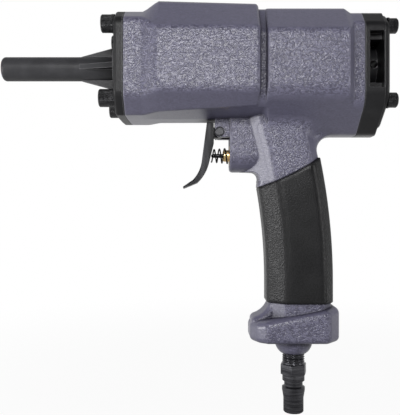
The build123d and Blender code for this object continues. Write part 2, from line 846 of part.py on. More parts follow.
# Cylinder: liner, bumpers, piston, driver and head
with BuildPart() as cylinder_liner:
    liner_radius = bore_radius - seat_gap
    turned(0, [(x_seat, liner_bore_radius), (x_seat, liner_radius), (x_head, liner_radius),
               (x_head, liner_bore_radius)])
    liner_rings = (x_seat + liner_ring_setback, x_head - liner_ring_setback)
    for x in liner_rings:
        ring_groove(x, 0, liner_radius)
save(cylinder_liner, "cylinder_liner")
seal_rings("liner_o_rings", 0, liner_rings, liner_radius)

with BuildPart() as front_bumper:
    base_radius = liner_bore_radius - free_gap
    turned(0, [(x_seat, bumper_hole_radius), (x_seat, base_radius), (x_bumper, base_radius),
               (x_bumper, bumper_nose_radius), (x_bumper_nose, bumper_nose_radius),
               (x_bumper_nose, bumper_hole_radius)])
    chamfer(front_bumper.edges().group_by(Axis.X)[-1].sort_by(SortBy.RADIUS)[-1], bumper_nose_bevel)
save(front_bumper, "front_bumper")

with BuildPart() as piston:
    piston_radius = liner_bore_radius - running_gap
    shank_hole = shank_radius + seat_gap
    x_nut = x_piston_rear - nut_pocket_depth
    turned(0, [(x_piston, shank_hole), (x_piston, piston_radius), (x_piston_rear, piston_radius),
               (x_piston_rear, nut_pocket_radius), (x_nut, nut_pocket_radius), (x_nut, shank_hole)])
    seal_floor = piston_radius - piston_seal_depth
    seal_places = (x_piston + piston_seal_front, x_piston + piston_seal_rear)
    for x in seal_places:
        turned(0, [(x, seal_floor), (x, bore_radius), (x + piston_seal_width, bore_radius),
                   (x + piston_seal_width, seal_floor)], mode=Mode.SUBTRACT)
save(piston, "piston")

with BuildPart() as piston_seals:
    for x in seal_places:
        turned(0, [(x + running_gap, seal_floor + running_gap), (x + running_gap, piston_radius),
                   (x + piston_seal_width - running_gap, piston_radius),
                   (x + piston_seal_width - running_gap, seal_floor + running_gap)])
save(piston_seals, "piston_seals")

with BuildPart() as driver_rod:
    x_tip = x_seat - guide_bush_length + driver_setback
    x_shank_end = x_nut + nut_height + shank_end
    turned(0, [(x_tip, 0), (x_tip, driver_radius), (x_collar, driver_radius), (x_collar, collar_radius),
               (x_piston, collar_radius), (x_piston, shank_radius), (x_shank_end, shank_radius),
               (x_shank_end, 0)])
    chamfer(driver_rod.edges().group_by(Axis.X)[0], driver_tip_chamfer)
save(driver_rod, "driver_rod")

with BuildPart() as driver_nut:
    with BuildSketch(Plane.YZ.offset(x_nut)):
        RegularPolygon(nut_across / 2, 6, major_radius=False)
        Circle(shank_radius + seat_gap, mode=Mode.SUBTRACT)
    extrude(amount=nut_height)
save(driver_nut, "driver_nut")

coil_spring("piston_return_spring", return_wire, return_spring_turns,
            x_bumper + return_wire / 2 + seat_gap, x_piston - return_wire / 2 - seat_gap,
            return_spring_radius, return_spring_radius, 0)

with BuildPart() as rear_bumper:
    turned(0, [(x_head - rear_bumper_thick, rear_bumper_bore),
               (x_head - rear_bumper_thick, liner_bore_radius - free_gap),
               (x_head, liner_bore_radius - free_gap), (x_head, rear_bumper_bore)])
save(rear_bumper, "rear_bumper")

with BuildPart() as cylinder_head:
    x_hub = x_rear + seat_hub_height
    head_radius = bore_radius - seat_gap
    turned(0, [(x_head, 0), (x_head, head_radius), (x_rear, head_radius), (x_rear, seat_hub_radius),
               (x_hub, seat_hub_radius), (x_hub, 0)])
    x_duct = x_head + head_thick / 2
    bored(x_duct, x_hub, inlet_duct_radius)
    with BuildSketch(Plane.XY.offset(-bore_radius)):
        with Locations((x_duct, 0)):
            Circle(inlet_duct_radius)
    extrude(amount=bore_radius, mode=Mode.SUBTRACT)
    with BuildSketch(Plane.YZ.offset(x_head)):
        with PolarLocations(head_port_circle, head_port_count):
            Circle(head_port_radius)
    extrude(amount=head_thick, mode=Mode.SUBTRACT)
save(cylinder_head, "cylinder_head")

# Quick exhaust valve and rear cover
with BuildPart() as rear_gasket:
    extrude(body_section(x_rear, rear_outline), amount=rear_gasket_thick)
    bored(x_rear, x_cover, exhaust_chamber_radius)
    pattern_bored(x_rear, x_cover, rear_screw_radius + screw_hole_gap, rear_screw_y, rear_rows)
save(rear_gasket, "rear_gasket")

x_disc = x_hub + face_gap
x_exhaust_seat = x_disc + disc_thick + disc_travel + face_gap
x_exhaust_floor = x_exhaust_seat + exhaust_seat_height

with BuildPart() as exhaust_disc:
    with BuildSketch(Plane.YZ.offset(x_disc)):
        Circle(disc_radius)
        with PolarLocations(0, 3):
            with Locations(((exhaust_chamber_radius - free_gap) / 2, 0)):
                Rectangle(exhaust_chamber_radius - free_gap, disc_wing_width)
        Circle(exhaust_chamber_radius - free_gap, mode=Mode.INTERSECT)
    extrude(amount=disc_thick)
save(exhaust_disc, "exhaust_disc")

with BuildPart() as rear_cover:
    extrude(body_section(x_cover, rear_outline), amount=cover_frame_depth)
    plate_side = rear_side_half - cover_plate_inset
    plate_outline = [
        ((rear_roof_half - cover_plate_inset, rear_roof_z - cover_plate_inset), upper_round),
        ((plate_side, rear_side_top), upper_round),
        ((plate_side, keel_hip(rear_side_half)[1] + cover_plate_lift / 2), hip_round),
        ((keel_half, keel_z + cover_plate_lift), keel_round),
    ]
    extrude(body_section(x_plate, plate_outline), amount=cover_plate_thick)
    fillet(rear_cover.faces().sort_by(Axis.X)[-1].edges(), cover_plate_round)
    x_window = x_cover + window_front
    with BuildSketch(Plane.XZ):
        with Locations((x_window + window_length / 2, 0)):
            Rectangle(window_length, 2 * window_step_half)
    extrude(amount=main_side_half, both=True, mode=Mode.SUBTRACT)
    for side in (-1, 1):
        with BuildSketch(Plane.XZ.offset(side * (rear_side_half - window_step_depth))):
            with Locations((x_window + window_length / 2, 0)):
                Rectangle(window_length, 2 * window_half)
        extrude(amount=side * 2 * window_step_depth, mode=Mode.SUBTRACT)
    with BuildSketch(Plane.YZ.offset(x_cover)):
        Circle(cover_boss_radius)
    extrude(amount=cover_frame_depth)
    bored(x_cover, x_exhaust_floor, exhaust_chamber_radius)
    with BuildSketch(Plane.YZ.offset(x_exhaust_seat)):
        Circle(exhaust_seat_radius)
    extrude(amount=exhaust_seat_height)
    x_cross = x_exhaust_floor + exhaust_cross_radius + exhaust_wall
    bored(x_exhaust_seat, x_cross + exhaust_cross_radius, exhaust_port_radius)
    with BuildSketch(Plane.XZ):
        with Locations((x_cross, 0)):
            Circle(exhaust_cross_radius)
    extrude(amount=cover_boss_radius, both=True, mode=Mode.SUBTRACT)
    pattern_bored(x_cover, x_end, rear_screw_radius + screw_hole_gap, rear_screw_y, rear_rows)
save(rear_cover, "rear_cover")

rear_heads = [(z, x_end + rear_washer_thick) for z in rear_rows]
cap_screws("rear_screws", rear_heads, 1, rear_screw_y, rear_screw_radius, rear_head_radius,
           rear_head_height, rear_socket_across, x_rear - rear_screw_reach)
split_washers("rear_spring_washers", rear_heads, x_end, rear_screw_y, rear_washer_radius,
              rear_screw_radius + screw_hole_gap)

# Trigger: lever, pin and clip
def from_pin(place):
    """Point in the side view from its place relative to the pin axis."""
    return (x_pin + place[0], pin_z + place[1])


lean = math.radians(lever_lean)
lever_knee = (-lever_back, -lever_knee_drop)
lever_low = (lever_knee[0] - lever_lean_length * math.sin(lean),
             lever_knee[1] - lever_lean_length * math.cos(lean))

with BuildPart() as trigger_lever:
    with BuildSketch(Plane.XZ):
        with BuildLine():
            front = Line(from_pin(lever_front_top), from_pin(lever_front_knee))
            curl = TangentArc(front @ 1, from_pin(lever_front_curl), tangent=front % 1)
            tip = Line(curl @ 1, from_pin(lever_tip_front))
            end = Line(tip @ 1, from_pin(lever_tip_back))
            under = Line(end @ 1, from_pin(lever_back_curl))
            back_low = Line(from_pin(lever_knee), from_pin(lever_low))
            TangentArc(back_low @ 1, under @ 1, tangent=back_low % 1)
            back_top = Line(from_pin(lever_knee), from_pin((-lever_back, lever_top)))
            Line(back_top @ 1, front @ 0)
        make_face()
    extrude(amount=lever_half, both=True)

    def on_front(edge):
        middle = edge @ 0.5
        in_side_view = Vector(middle.X, middle.Z)
        return abs(middle.Y) > lever_half - near and min(
            line.distance_to(in_side_view) for line in (front, curl, tip)) < near

    fillet(trigger_lever.edges().filter_by(on_front), lever_edge_round)
    with BuildSketch(Plane.XZ):
        with Locations((x_pin, pin_z)):
            Circle(tongue_radius)
        with Locations((x_pin - lever_back / 2 - free_gap, pin_z)):
            Rectangle(lever_back + 2 * free_gap, 2 * tongue_radius)
    extrude(amount=tongue_half, both=True)
    with BuildSketch(Plane.XZ):
        with Locations((x_pin, pin_z)):
            Circle(pin_radius + running_gap)
    extrude(amount=lever_half, both=True, mode=Mode.SUBTRACT)
save(trigger_lever, "trigger_lever")

y_lug = lug_inner + lug_thick
with BuildPart() as trigger_pin:
    with BuildSketch(Plane.XZ.offset(-y_lug - pin_tail)):
        with Locations((x_pin, pin_z)):
            Circle(pin_radius)
    extrude(amount=2 * y_lug + pin_tail)
    with BuildSketch(Plane.XZ.offset(y_lug)):
        with Locations((x_pin, pin_z)):
            Circle(pin_head_radius)
    extrude(amount=pin_head_height)
    chamfer(trigger_pin.edges().group_by(Axis.Y)[0], pin_head_bevel)
    with BuildSketch(Plane.XZ.offset(-y_lug - seat_gap)):
        with Locations((x_pin, pin_z)):
            Circle(2 * pin_radius)
            Circle(clip_bore, mode=Mode.SUBTRACT)
    extrude(amount=-clip_thick - 2 * seat_gap, mode=Mode.SUBTRACT)
save(trigger_pin, "trigger_pin")

with BuildPart() as trigger_pin_clip:
    with BuildSketch(Plane.XZ.offset(-y_lug - 2 * seat_gap)):
        with Locations((x_pin, pin_z)):
            Circle(clip_radius)
            Circle(clip_bore + seat_gap, mode=Mode.SUBTRACT)
        with Locations((x_pin, pin_z - clip_radius)):
            Rectangle(2 * clip_bore, 2 * clip_radius, mode=Mode.SUBTRACT)
    extrude(amount=-clip_thick)
save(trigger_pin_clip, "trigger_pin_clip")

# Valve: bush, seals, stem, springs
with BuildPart() as valve_bush:
    stem_bore = stem_radius + stem_gap
    x_nose = x_boss - bush_nose_length
    half_groove = bush_groove_width / 2
    turned(valve_z, [
        (x_nose, stem_bore), (x_nose, bush_nose_radius - nose_bevel),
        (x_nose + nose_bevel, bush_nose_radius), (x_boss, bush_nose_radius), (x_boss, bush_radius),
        (x_port - half_groove, bush_radius), (x_port - half_groove, bush_groove_radius),
        (x_port + half_groove, bush_groove_radius), (x_port + half_groove, bush_radius),
        (x_bush_end, bush_radius), (x_bush_end, bush_chamber_radius),
        (x_boss + bush_chamber_start, bush_chamber_radius), (x_boss + bush_chamber_start, stem_bore),
    ])
    bush_rings = (x_boss + bush_ring_front, x_boss + bush_ring_rear)
    for x in bush_rings:
        ring_groove(x, valve_z, bush_radius)
    with BuildSketch(Plane.XY.offset(valve_z)):
        with Locations((x_port, 0)):
            Circle(bush_port_radius)
    extrude(amount=bush_radius, both=True, mode=Mode.SUBTRACT)
    with BuildSketch(Plane.XZ):
        with Locations((x_port, valve_z)):
            Circle(bush_port_radius)
    extrude(amount=bush_radius, both=True, mode=Mode.SUBTRACT)
save(valve_bush, "valve_bush")
seal_rings("valve_bush_o_rings", valve_z, bush_rings, bush_radius)

# The stem's round tip stands off the slanted back of the lever by stem_touch.
drop = pin_z - valve_z
tip_radius = stem_radius
from_knee = (tip_radius + stem_touch - (drop - lever_knee_drop) * math.sin(lean)) / math.cos(lean)
x_stem_tip = x_pin - lever_back + from_knee - tip_radius

with BuildPart() as valve_stem:
    with BuildSketch(Plane.XZ):
        with BuildLine():
            dome = CenterArc((x_stem_tip + tip_radius, valve_z), tip_radius, 90, 90)
            x_tail = x_poppet + poppet_thick
            Polyline(dome @ 0, (x_poppet, valve_z + stem_radius), (x_poppet, valve_z + poppet_radius),
                     (x_tail, valve_z + poppet_radius), (x_tail, valve_z + poppet_tail_radius),
                     (x_tail + poppet_tail, valve_z + poppet_tail_radius), (x_tail + poppet_tail, valve_z),
                     dome @ 1)
        make_face()
    revolve(axis=Axis((0, 0, valve_z), (1, 0, 0)))
save(valve_stem, "valve_stem")

with BuildPart() as poppet_seal:
    turned(valve_z, [(x_poppet_seal, stem_radius + seat_gap), (x_poppet_seal, poppet_radius),
                     (x_poppet, poppet_radius), (x_poppet, stem_radius + seat_gap)])
save(poppet_seal, "poppet_seal")

coil_spring("valve_spring", valve_wire, valve_spring_turns,
            x_tail + valve_wire / 2 + seat_gap, x_chamber_end - valve_wire / 2 - seat_gap,
            valve_spring_radius, valve_spring_radius, valve_z)
x_lever_face = x_stem_tip - stem_touch
coil_spring("trigger_spring", trigger_wire, trigger_spring_turns,
            x_lever_face + trigger_spring_lift, x_boss - trigger_wire / 2 - seat_gap,
            trigger_spring_small, trigger_spring_large, valve_z)

# Air inlet: sieve and quick-connect plug
with BuildPart() as inlet_filter:
    z_sieve = inlet_floor_z - filter_flange_thick
    z_top = inlet_floor_z + filter_height
    inner = filter_radius - filter_wall
    turned_upright(x_inlet, [
        (inner, z_sieve), (plug_thread_radius, z_sieve), (plug_thread_radius, inlet_floor_z),
        (filter_radius, inlet_floor_z), (filter_radius, z_top), (0, z_top), (0, z_top - filter_wall),
        (inner, z_top - filter_wall),
    ])
save(inlet_filter, "inlet_filter")

with BuildPart() as air_plug:
    z_hex = z_sieve - plug_thread_length
    z_collar = z_hex - plug_hex_length
    z_neck = z_collar - plug_collar_length
    z_ring = z_neck - plug_neck_length
    z_taper = z_ring - plug_ring_length
    z_straight = z_taper - plug_taper_length
    z_end = z_straight - plug_end_length
    turned_upright(x_inlet, [
        (0, z_sieve), (plug_thread_radius, z_sieve), (plug_thread_radius, z_hex),
        (plug_collar_radius, z_collar), (plug_collar_radius, z_neck + plug_edge),
        (plug_neck_radius, z_neck), (plug_neck_radius, z_ring), (plug_ring_radius, z_ring - plug_edge),
        (plug_ring_radius, z_taper), (plug_end_radius, z_straight), (plug_end_radius, z_end + plug_edge),
        (plug_end_radius - plug_edge, z_end), (0, z_end),
    ])
    with BuildSketch(Plane.XY.offset(z_collar)):
        with Locations((x_inlet, 0)):
            RegularPolygon(plug_hex_across / 2, 6, major_radius=False, rotation=plug_hex_turn)
    extrude(amount=plug_hex_length)
    with BuildSketch(Plane.XY.offset(z_end)):
        with Locations((x_inlet, 0)):
            Circle(plug_bore_radius)
    extrude(amount=z_sieve - z_end, mode=Mode.SUBTRACT)
save(air_plug, "air_plug")
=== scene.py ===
import json
import math

import bmesh
import bpy
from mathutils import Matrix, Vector
from mathutils.bvhtree import BVHTree


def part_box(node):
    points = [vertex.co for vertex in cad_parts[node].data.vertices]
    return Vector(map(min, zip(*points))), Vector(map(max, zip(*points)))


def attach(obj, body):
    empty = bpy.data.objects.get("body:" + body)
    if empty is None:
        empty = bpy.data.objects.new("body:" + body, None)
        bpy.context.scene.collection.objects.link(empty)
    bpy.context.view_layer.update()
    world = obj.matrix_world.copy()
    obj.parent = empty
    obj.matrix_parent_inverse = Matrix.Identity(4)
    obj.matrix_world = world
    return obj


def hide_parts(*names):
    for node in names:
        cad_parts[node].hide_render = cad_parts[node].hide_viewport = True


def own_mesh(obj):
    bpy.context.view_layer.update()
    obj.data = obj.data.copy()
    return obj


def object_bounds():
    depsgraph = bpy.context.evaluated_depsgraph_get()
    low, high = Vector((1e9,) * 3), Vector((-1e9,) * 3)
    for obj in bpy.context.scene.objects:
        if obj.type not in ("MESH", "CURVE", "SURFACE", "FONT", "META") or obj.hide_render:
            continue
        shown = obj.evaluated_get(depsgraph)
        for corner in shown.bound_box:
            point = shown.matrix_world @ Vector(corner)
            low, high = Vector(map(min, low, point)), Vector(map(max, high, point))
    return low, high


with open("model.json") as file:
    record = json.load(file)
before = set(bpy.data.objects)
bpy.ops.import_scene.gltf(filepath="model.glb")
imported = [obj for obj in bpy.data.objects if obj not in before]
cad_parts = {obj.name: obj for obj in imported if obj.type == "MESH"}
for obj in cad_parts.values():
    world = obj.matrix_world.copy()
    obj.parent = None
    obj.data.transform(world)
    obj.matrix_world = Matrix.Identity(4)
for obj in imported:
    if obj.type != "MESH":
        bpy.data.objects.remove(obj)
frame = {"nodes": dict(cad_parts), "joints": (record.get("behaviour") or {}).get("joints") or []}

cad_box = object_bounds()
nodes = frame["nodes"]
joints = {joint["name"]: joint for joint in frame["joints"]}
scene = bpy.context.scene
scene.view_settings.view_transform = "Standard"


def fixed_end(joint):
    """X of the end that stays put on the spring that this joint presses."""
    return joints[joint]["deforming_nodes"][0]["fixed_end_x_m"]


# Places that several pieces share, in metres: X runs back from the nose, Z up, and Y = 0 is the mid plane
pin_place = joints["trigger_hinge"]["pos_m"]
boss_x = fixed_end("trigger_hinge")
valve_z = -0.0511
plug_low, plug_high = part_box("air_plug")
plug_x = (plug_low.x + plug_high.x) / 2

# Camera: straight side view, nose to the left
camera_distance = 0.358
view_half_height = 0.12243
view_x = 0.1160
view_z = -0.0815
camera_data = bpy.data.cameras.new("camera")
camera_data.sensor_fit = "VERTICAL"
camera_data.sensor_height = 24.0
camera_data.angle = 2 * math.atan(view_half_height / camera_distance)
camera_data.clip_start = 0.01
camera = bpy.data.objects.new("camera", camera_data)
camera.location = (view_x, -camera_distance, view_z)
camera.rotation_euler = (math.radians(90), 0, 0)
scene.collection.objects.link(camera)
scene.camera = camera


# Material tools
class Nodes:
    """Builds the node tree of one material."""

    sockets = {"color": "Base Color", "roughness": "Roughness", "metallic": "Metallic", "normal": "Normal",
               "coat": "Coat Weight", "coat_roughness": "Coat Roughness", "coat_normal": "Coat Normal",
               "specular": "Specular IOR Level"}

    def __init__(self, name):
        self.material = bpy.data.materials.new(name)
        self.material.use_nodes = True
        self.tree = self.material.node_tree
        self.shader = self.tree.nodes["Principled BSDF"]
        self.output = self.tree.nodes["Material Output"]
        self.coordinates = None

    def add(self, kind, **settings):
        node = self.tree.nodes.new(kind)
        for key, value in settings.items():
            setattr(node, key, value)
        return node

    def link(self, source, target):
        self.tree.links.new(source, target)

    def give(self, socket, value):
        """Set a socket to a number or a colour, or link it to an output."""
        if isinstance(value, (int, float)):
            socket.default_value = value
        elif isinstance(value, tuple):
            socket.default_value = (*value, 1.0)
        else:
            self.link(value, socket)

    def place(self):
        if self.coordinates is None:
            self.coordinates = self.add("ShaderNodeTexCoord").outputs["Object"]
        return self.coordinates

    def axes(self, vector=None):
        """X, Y and Z of a vector, or of the place."""
        node = self.add("ShaderNodeSeparateXYZ")
        self.link(self.place() if vector is None else vector, node.inputs["Vector"])
        return node.outputs

    def stretched(self, x, y, z):
        mapping = self.add("ShaderNodeMapping")
        mapping.inputs["Scale"].default_value = (x, y, z)
        self.link(self.place(), mapping.inputs["Vector"])
        return mapping.outputs["Vector"]

    def distance(self, vector, point):
        node = self.add("ShaderNodeVectorMath", operation="DISTANCE")
        self.link(vector, node.inputs[0])
        node.inputs[1].default_value = point
        return node.outputs["Value"]

    def noise(self, scale, detail=2.0, roughness=0.5, distortion=0.0, vector=None):
        node = self.add("ShaderNodeTexNoise")
        node.inputs["Scale"].default_value = scale
        node.inputs["Detail"].default_value = detail
        node.inputs["Roughness"].default_value = roughness
        node.inputs["Distortion"].default_value = distortion
        self.link(self.place() if vector is None else vector, node.inputs["Vector"])
        return node.outputs["Fac"]

    def cells(self, scale, smoothness):
        node = self.add("ShaderNodeTexVoronoi", feature="SMOOTH_F1")
        node.inputs["Scale"].default_value = scale
        node.inputs["Smoothness"].default_value = smoothness
        self.link(self.place(), node.inputs["Vector"])
        return node.outputs["Distance"]

    def span(self, value, low, high, to_low, to_high):
        """Smooth step from to_low to to_high as the value goes from low to high."""
        node = self.add("ShaderNodeMapRange", interpolation_type="SMOOTHSTEP")
        for key, number in (("From Min", low), ("From Max", high), ("To Min", to_low), ("To Max", to_high)):
            node.inputs[key].default_value = number
        self.link(value, node.inputs["Value"])
        return node.outputs["Result"]

    def math(self, operation, first, second=0.0):
        node = self.add("ShaderNodeMath", operation=operation)
        for socket, value in zip(node.inputs, (first, second)):
            self.give(socket, value)
        return node.outputs["Value"]

    def mix(self, share, first, second):
        node = self.add("ShaderNodeMix", data_type="RGBA")
        used = [socket for socket in node.inputs if socket.enabled]
        for socket, value in zip(used, (share, first, second)):
            self.give(socket, value)
        return [socket for socket in node.outputs if socket.enabled][0]

    def bump(self, height, distance, strength, normal=None):
        node = self.add("ShaderNodeBump")
        node.inputs["Distance"].default_value = distance
        self.give(node.inputs["Strength"], strength)
        self.link(height, node.inputs["Height"])
        if normal is not None:
            self.link(normal, node.inputs["Normal"])
        return node.outputs["Normal"]

    def rounded(self, radius, samples=6):
        """Normals as they would be with edges of this radius."""
        bevel = self.add("ShaderNodeBevel", samples=samples)
        bevel.inputs["Radius"].default_value = radius
        return bevel.outputs["Normal"]

    def edges(self, radius, turn=0.35):
        """1 near edges and 0 elsewhere, with the rounded normals."""
        rounded = self.rounded(radius)
        dot = self.add("ShaderNodeVectorMath", operation="DOT_PRODUCT")
        self.link(rounded, dot.inputs[0])
        self.link(self.add("ShaderNodeNewGeometry").outputs["Normal"], dot.inputs[1])
        return self.span(dot.outputs["Value"], 1.0 - turn, 1.0, 1.0, 0.0), rounded

    def sideways(self, normal=None):
        """1 on faces that look to the side of the tool, 0 on those that look up, down or along it."""
        if normal is None:
            normal = self.add("ShaderNodeNewGeometry").outputs["Normal"]
        return self.math("ABSOLUTE", self.axes(normal)["Y"])

    def hollow(self, distance):
        """0 deep in hollows and corners, 1 on open faces."""
        shade = self.add("ShaderNodeAmbientOcclusion", samples=8)
        shade.inputs["Distance"].default_value = distance
        return self.span(shade.outputs["AO"], 0.5, 1.0, 0.0, 1.0)

    def set(self, **values):
        """Give these values to the shader, and return the material."""
        for key, value in values.items():
            self.give(self.shader.inputs[self.sockets[key]], value)
        return self.material


def linear(*rgb):
    """Linear colour from 8-bit sRGB values."""
    levels = [value / 255 for value in rgb]
    return tuple(level / 12.92 if level <= 0.04045 else ((level + 0.055) / 1.055) ** 2.4 for level in levels)


def dress(names, material):
    """Put one material on these CAD nodes."""
    for name in names:
        slots = nodes[name].material_slots
        if not slots:
            nodes[name].data.materials.append(material)
        for slot in slots:
            slot.link = "OBJECT"
            slot.material = material


def hammertone_paint():
    """Fine wormy relief on broad faces, smooth on slopes, under a clear gloss, with painted shade in
    hollows, painted highlights along edges and a painted shadow ring round the pin.
    """
    pin_shadow_inner, pin_shadow_outer = 0.0026, 0.0032
    hammer = Nodes("hammertone_paint")
    sideways = hammer.sideways()
    broad = hammer.span(sideways, 0.78, 0.9, 0.15, 1.0)
    exposed = hammer.hollow(0.008)
    gloss = hammer.math("MULTIPLY", hammer.span(sideways, 0.05, 0.35, 0.55, 1.0), exposed)
    worms = hammer.noise(740, detail=1.0, roughness=0.4, distortion=1.4,
                         vector=hammer.stretched(0.7, 1.0, 1.0))
    grain = hammer.noise(1500, detail=1.0, distortion=0.8)
    relief = hammer.math("ADD", hammer.math("MULTIPLY", worms, 0.94), hammer.math("MULTIPLY", grain, 0.06))
    edge, edge_normal = hammer.edges(0.0012, turn=0.08)
    ridge = hammer.math("ADD", hammer.math("MULTIPLY", hammer.math("SUBTRACT", relief, 0.5), broad), 0.5)
    tone = hammer.mix(hammer.span(ridge, 0.4, 0.6, 0.0, 1.0), linear(82, 80, 101), linear(113, 111, 134))
    # Painted highlight: lighter along edges and creases
    tone = hammer.mix(hammer.math("MULTIPLY", edge, 0.28), tone, linear(160, 158, 175))
    # Painted shade: darker in hollows, creases and corners, from the ambient occlusion mask
    tone = hammer.mix(exposed, linear(40, 38, 53), tone)
    # Painted shadow: a dark ring round the pin
    from_pin = hammer.distance(hammer.stretched(1.0, 0.0, 1.0), pin_place)
    tone = hammer.mix(hammer.span(from_pin, pin_shadow_inner, pin_shadow_outer, 0.9, 0.0), tone, linear(24, 23, 30))
    surface = hammer.bump(relief, 0.00045, broad, edge_normal)
    return hammer.set(color=tone, roughness=0.45, specular=0.45, coat=gloss, coat_roughness=0.32,
                      normal=surface, coat_normal=surface)


def black_satin():
    """Satin black of the nose, with painted shade darkening its flange and painted highlights along its
    edges.
    """
    flange_from, flange_to = 0.052, 0.066
    black = Nodes("black_satin")
    edge, edge_normal = black.edges(0.0007, turn=0.07)
    speck = black.noise(1500)
    cloud = black.span(black.noise(90, detail=3.0), 0.4, 0.7, 0.0, 1.0)
    flange = black.span(black.axes()["X"], flange_from, flange_to, 0.0, 1.0)
    tone = black.mix(cloud, linear(56, 56, 59), linear(66, 66, 69))
    # Painted shade: the flange darker than the tube
    tone = black.mix(flange, tone, linear(28, 28, 30))
    # Painted highlight: lighter along edges
    tone = black.mix(black.math("MULTIPLY", edge, 0.75), tone, linear(130, 130, 132))
    return black.set(color=tone, specular=0.35, roughness=black.span(speck, 0.3, 0.7, 0.4, 0.52),
                     normal=black.bump(speck, 0.00008, 0.5, edge_normal))


def black_cover():
    """Glossier black of the rear cover."""
    cover = Nodes("black_cover")
    edge, edge_normal = cover.edges(0.0007, turn=0.2)
    speck = cover.noise(1200)
    cloud = cover.span(cover.noise(110, detail=3.0), 0.4, 0.7, 0.0, 1.0)
    tone = cover.mix(cloud, linear(24, 24, 26), linear(33, 33, 35))
    # Painted highlight: lighter along edges
    tone = cover.mix(cover.math("MULTIPLY", edge, 0.6), tone, linear(110, 110, 112))
    return cover.set(color=tone, specular=0.4, roughness=cover.span(speck, 0.3, 0.7, 0.3, 0.42),
                     normal=cover.bump(speck, 0.00008, 0.5, edge_normal))


def screw_steel(name, axis_y, axis_z, drop, ridges):
    """Black oxide with the fine upright knurl of socket heads round each screw's own axis."""
    steel = Nodes(name)
    place = steel.axes()
    across = steel.math("SUBTRACT", steel.math("ABSOLUTE", place["Y"]), axis_y)
    height = steel.math("ADD", place["Z"], drop)
    upward = steel.math("SUBTRACT", steel.math("ABSOLUTE", height), axis_z)
    angle = steel.math("ARCTAN2", upward, across)
    knurl = steel.math("SINE", steel.math("MULTIPLY", angle, ridges))
    edge, edge_normal = steel.edges(0.0004)
    cloud = steel.span(steel.noise(400, detail=3.0), 0.4, 0.7, 0.0, 1.0)
    tone = steel.mix(cloud, linear(34, 34, 36), linear(54, 54, 56))
    # Painted highlight: lighter along edges
    tone = steel.mix(steel.math("MULTIPLY", edge, 0.5), tone, linear(120, 120, 122))
    return steel.set(color=tone, metallic=0.6, roughness=steel.span(steel.noise(900), 0.3, 0.7, 0.26, 0.4),
                     normal=steel.bump(knurl, 0.00012, 0.6, edge_normal))


def grip_rubber():
    """Pebbled rubber, its pebbles plainest on the slanted cheeks."""
    rubber = Nodes("grip_rubber")
    rounded = rubber.rounded(0.003, samples=12)
    pebble = rubber.cells(1250, smoothness=0.4)
    soft = rubber.noise(55, detail=3.0)
    tone = rubber.mix(rubber.span(soft, 0.35, 0.7, 0.0, 1.0), linear(16, 16, 17), linear(23, 23, 24))
    tone = rubber.mix(rubber.span(pebble, 0.25, 0.6, 0.0, 0.6), tone, linear(36, 36, 38))
    strength = rubber.span(rubber.sideways(rounded), 0.75, 0.97, 0.7, 0.2)
    return rubber.set(color=tone, specular=0.38, roughness=rubber.span(soft, 0.3, 0.7, 0.32, 0.42),
                      normal=rubber.bump(pebble, 0.0003, strength, rounded))


def lever_steel():
    """Dark steel with lengthwise streaks."""
    lever = Nodes("lever_steel")
    streak = lever.noise(420, detail=3.0, vector=lever.stretched(1.0, 1.0, 0.06))
    edge, edge_normal = lever.edges(0.0005)
    tone = lever.mix(lever.span(streak, 0.35, 0.65, 0.0, 1.0), linear(28, 28, 30), linear(70, 70, 73))
    # Painted highlight: lighter along edges
    tone = lever.mix(lever.math("MULTIPLY", edge, 0.5), tone, linear(120, 120, 122))
    return lever.set(color=tone, metallic=0.3, specular=0.3,
                     roughness=lever.span(streak, 0.3, 0.7, 0.4, 0.55),
                     normal=lever.bump(streak, 0.00006, 0.5, edge_normal))


def plain_metal(name, dark, light, metallic, rough, scale=500, stretch=(1, 1, 1)):
    """Machined metal with fine lines along one direction, its roughness between two values."""
    metal = Nodes(name)
    lines = metal.noise(scale, detail=3.0, vector=metal.stretched(*stretch))
    tone = metal.mix(metal.span(lines, 0.35, 0.65, 0.0, 1.0), linear(*dark), linear(*light))
    depth = 0.02 / (scale * max(stretch))
    return metal.set(color=tone, metallic=metallic, roughness=metal.span(lines, 0.3, 0.7, *rough),
                     normal=metal.bump(lines, depth, 0.4))


def soft_rubber(name, dark, light):
    """Matte moulded rubber."""
    seal = Nodes(name)
    grain = seal.noise(1300)
    tone = seal.mix(seal.span(grain, 0.35, 0.65, 0.0, 1.0), linear(*dark), linear(*light))
    return seal.set(color=tone, roughness=seal.span(grain, 0.3, 0.7, 0.6, 0.75),
                    normal=seal.bump(grain, 0.00006, 0.5))


# Materials of the CAD nodes that stay
dress(["nose_cover"], black_satin())
dress(["rear_cover"], black_cover())
dress(["nose_screws", "nose_spring_washers"],
      screw_steel("nose_screw_steel", axis_y=0.02065, axis_z=0.02065, drop=0.0, ridges=44))
dress(["rear_screws", "rear_spring_washers"],
      screw_steel("rear_screw_steel", axis_y=0.0175, axis_z=0.0208, drop=0.00045, ridges=38))
dress(["grip_sleeve"], grip_rubber())
dress(["trigger_lever"], lever_steel())
dress(["trigger_pin", "trigger_pin_clip"],
      plain_metal("pin_steel", (62, 62, 65), (92, 92, 96), metallic=0.4, rough=(0.42, 0.55)))
dress(["valve_bush"],
      plain_metal("bright_brass", (214, 178, 118), (246, 222, 170), metallic=0.85, rough=(0.28, 0.42),
                  scale=700, stretch=(8, 1, 1)))
dress(["driver_rod", "driver_nut", "cylinder_liner", "driver_guide_bush"],
      plain_metal("ground_steel", (120, 120, 124), (172, 172, 176), metallic=0.95, rough=(0.22, 0.36),
                  scale=600, stretch=(6, 1, 1)))
dress(["valve_stem"],
      plain_metal("stem_steel", (26, 26, 28), (40, 40, 42), metallic=0.85, rough=(0.16, 0.26),
                  scale=600, stretch=(6, 1, 1)))
